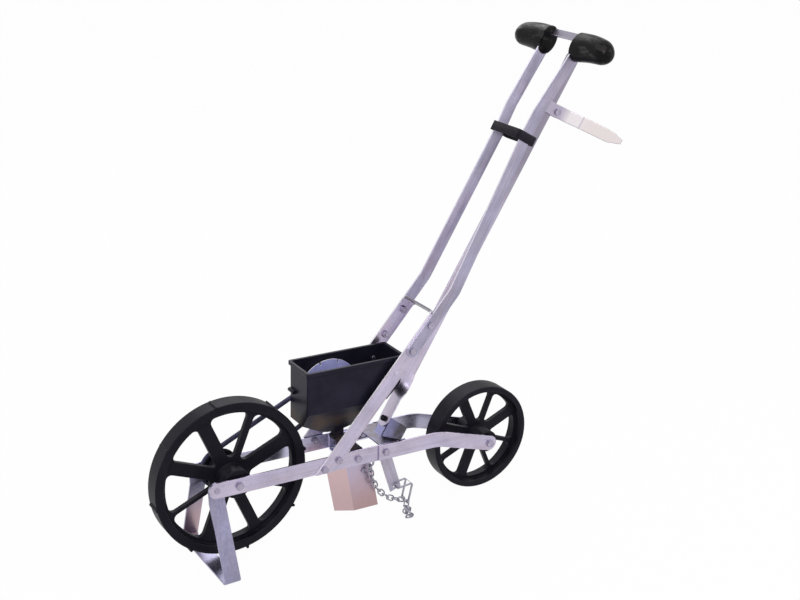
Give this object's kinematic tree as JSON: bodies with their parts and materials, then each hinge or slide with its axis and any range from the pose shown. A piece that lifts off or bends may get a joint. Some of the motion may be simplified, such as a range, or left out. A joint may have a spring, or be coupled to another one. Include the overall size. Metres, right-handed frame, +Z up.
{
  "type": "walk-behind seed planter",
  "caption": "Walk-behind row seeder with a flat-bar frame, large drive wheel, belt-driven seed plate in an open hopper, furrow opener, drag chain, press wheel and swing-out row marker.",
  "frame": {"origin": "centre of the overall box on the ground, under the parked machine", "axes": "+X forward toward the drive wheel, +Y to the operator's left, +Z up"},
  "size_m": [1.0606, 0.296, 0.9473],
  "materials": {
    "bar_aluminium": "mill finish flat bar, satin",
    "sheet_metal": "bright folded sheet, lightly brushed",
    "zinc_steel": "bright zinc plate",
    "plate_metal": "bright turned disc",
    "black_plastic": "moulded, slightly glossy",
    "grip_vinyl": "soft vinyl with a sheen",
    "belt_rubber": "matt moulded belt",
    "strap_webbing": "woven hook-and-loop band"
  },
  "bodies": {
    "frame": {"left_front_rail": "bar_aluminium", "right_front_rail": "bar_aluminium", "left_rear_rail": "bar_aluminium", "right_rear_rail": "bar_aluminium", "lower_handle": "bar_aluminium", "left_upper_handle": "bar_aluminium", "right_upper_handle": "bar_aluminium", "handle_crossbar": "bar_aluminium", "left_grip": "grip_vinyl", "right_grip": "grip_vinyl", "handle_strap": "strap_webbing", "hopper": "black_plastic", "seed_chute": "black_plastic", "drive_belt": "belt_rubber", "front_axle": "zinc_steel", "rear_axle": "zinc_steel", "axle_nuts": "zinc_steel", "axle_spacers": "black_plastic", "rail_bolts": "zinc_steel", "rail_nuts": "zinc_steel", "handle_bolts": "zinc_steel", "handle_nuts": "zinc_steel", "hopper_screws": "zinc_steel", "hopper_spacers": "black_plastic", "kickstand_rivets": "zinc_steel", "opener_guides": "sheet_metal", "marker_bracket": "sheet_metal", "marker_pivot_bolt": "zinc_steel", "marker_pivot_nut": "zinc_steel", "chain_hanger": "bar_aluminium", "chain_hook": "zinc_steel", "chain_eye": "zinc_steel", "drag_chain": "zinc_steel"},
    "drive_wheel": {"front_wheel": "black_plastic", "drive_pulley": "black_plastic"},
    "seed_drive": {"seed_plate": "plate_metal", "plate_shaft": "zinc_steel", "driven_pulley": "black_plastic"},
    "press_wheel": {"rear_wheel": "black_plastic"},
    "stand": {"kickstand": "bar_aluminium"},
    "opener": {"opener_shoe": "sheet_metal", "depth_bolt": "zinc_steel", "depth_nut": "zinc_steel"},
    "marker": {"marker_arm": "bar_aluminium"},
    "blade": {"marker_blade": "bar_aluminium", "blade_bolt": "zinc_steel", "blade_nut": "zinc_steel"},
    "chain_end": {"chain_tail": "zinc_steel"}
  },
  "joints": [
    {"name": "drive_spin", "type": "hinge", "parent": "frame", "child": "drive_wheel", "pos_m": [0.3753, 0, 0.17038], "axis": [0, 1, 0], "continuous": true},
    {"name": "seed_spin", "type": "hinge", "parent": "frame", "child": "seed_drive", "pos_m": [0.14022, 0, 0.28002], "axis": [0, 1, 0], "continuous": true},
    {"name": "press_spin", "type": "hinge", "parent": "frame", "child": "press_wheel", "pos_m": [-0.192, 0, 0.113], "axis": [0, 1, 0], "continuous": true},
    {"name": "stand_fold", "type": "hinge", "parent": "frame", "child": "stand", "pos_m": [0.42057, 0, 0.172], "axis": [0, -1, 0], "range_deg": [0, 125]},
    {"name": "opener_depth", "type": "slide", "parent": "frame", "child": "opener", "axis": [-0.0359, 0, 0.9994], "range_m": [-0.045, 0]},
    {"name": "marker_swing", "type": "hinge", "parent": "frame", "child": "marker", "pos_m": [0.02979, 0, 0.20351], "axis": [0.8413, 0, 0.5406], "range_deg": [-95, 95]},
    {"name": "blade_slide", "type": "slide", "parent": "marker", "child": "blade", "axis": [-0.5406, 0, 0.8413], "range_m": [-0.44, 0.08]},
    {"name": "tail_swing", "type": "hinge", "parent": "frame", "child": "chain_end", "pos_m": [0.00894, 0.0495, 0.03111], "axis": [0, 1, 0], "range_deg": [-25, 25]}
  ],
  "couplings": [
    {"joint": "seed_spin", "follows": "drive_spin", "ratio": 1.2692}
  ]
}
